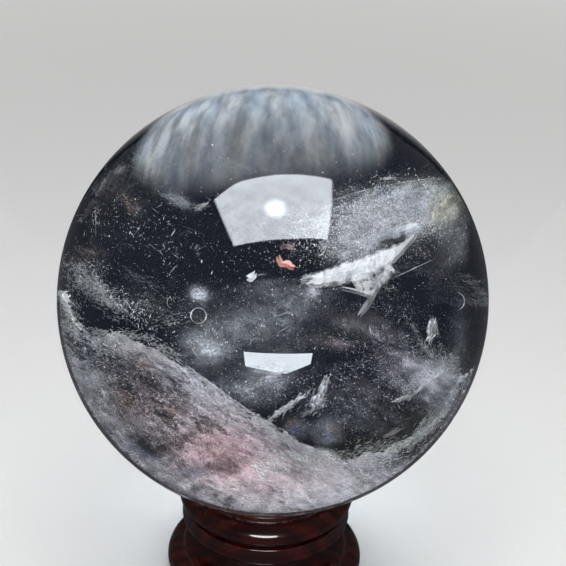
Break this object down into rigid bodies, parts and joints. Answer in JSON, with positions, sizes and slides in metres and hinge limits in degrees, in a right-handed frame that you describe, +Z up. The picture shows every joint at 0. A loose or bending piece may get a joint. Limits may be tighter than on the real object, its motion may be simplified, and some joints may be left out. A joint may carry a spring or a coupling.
{
  "type": "crystal ball",
  "caption": "Polished solid rock-crystal ball that lifts off and turns on a small turned, lacquered hardwood ring stand.",
  "frame": {"origin": "centre of the foot, on the surface the stand rests on", "axes": "+Z up along the axis of the stand and the ball; round, so X and Y are free"},
  "size_m": [0.08, 0.08, 0.103],
  "materials": {
    "rock_crystal": "polished, clear with white veils",
    "lacquered_hardwood": "gloss oxblood lacquer over open-pored wood",
    "seat_felt": "matte thin felt",
    "foot_felt": "matte felt"
  },
  "bodies": {
    "stand": {"turned_stand": "lacquered_hardwood", "foot_pad": "foot_felt"},
    "seat": {"seat_ring": "seat_felt"},
    "ball": {"crystal_ball": "rock_crystal"}
  },
  "joints": [
    {"name": "ball_turn", "type": "hinge", "parent": "stand", "child": "seat", "pos_m": [0, 0, 0.0225], "axis": [0, 0, 1], "continuous": true},
    {"name": "ball_lift", "type": "slide", "parent": "seat", "child": "ball", "axis": [0, 0, 1], "range_m": [0, 0.04]}
  ]
}
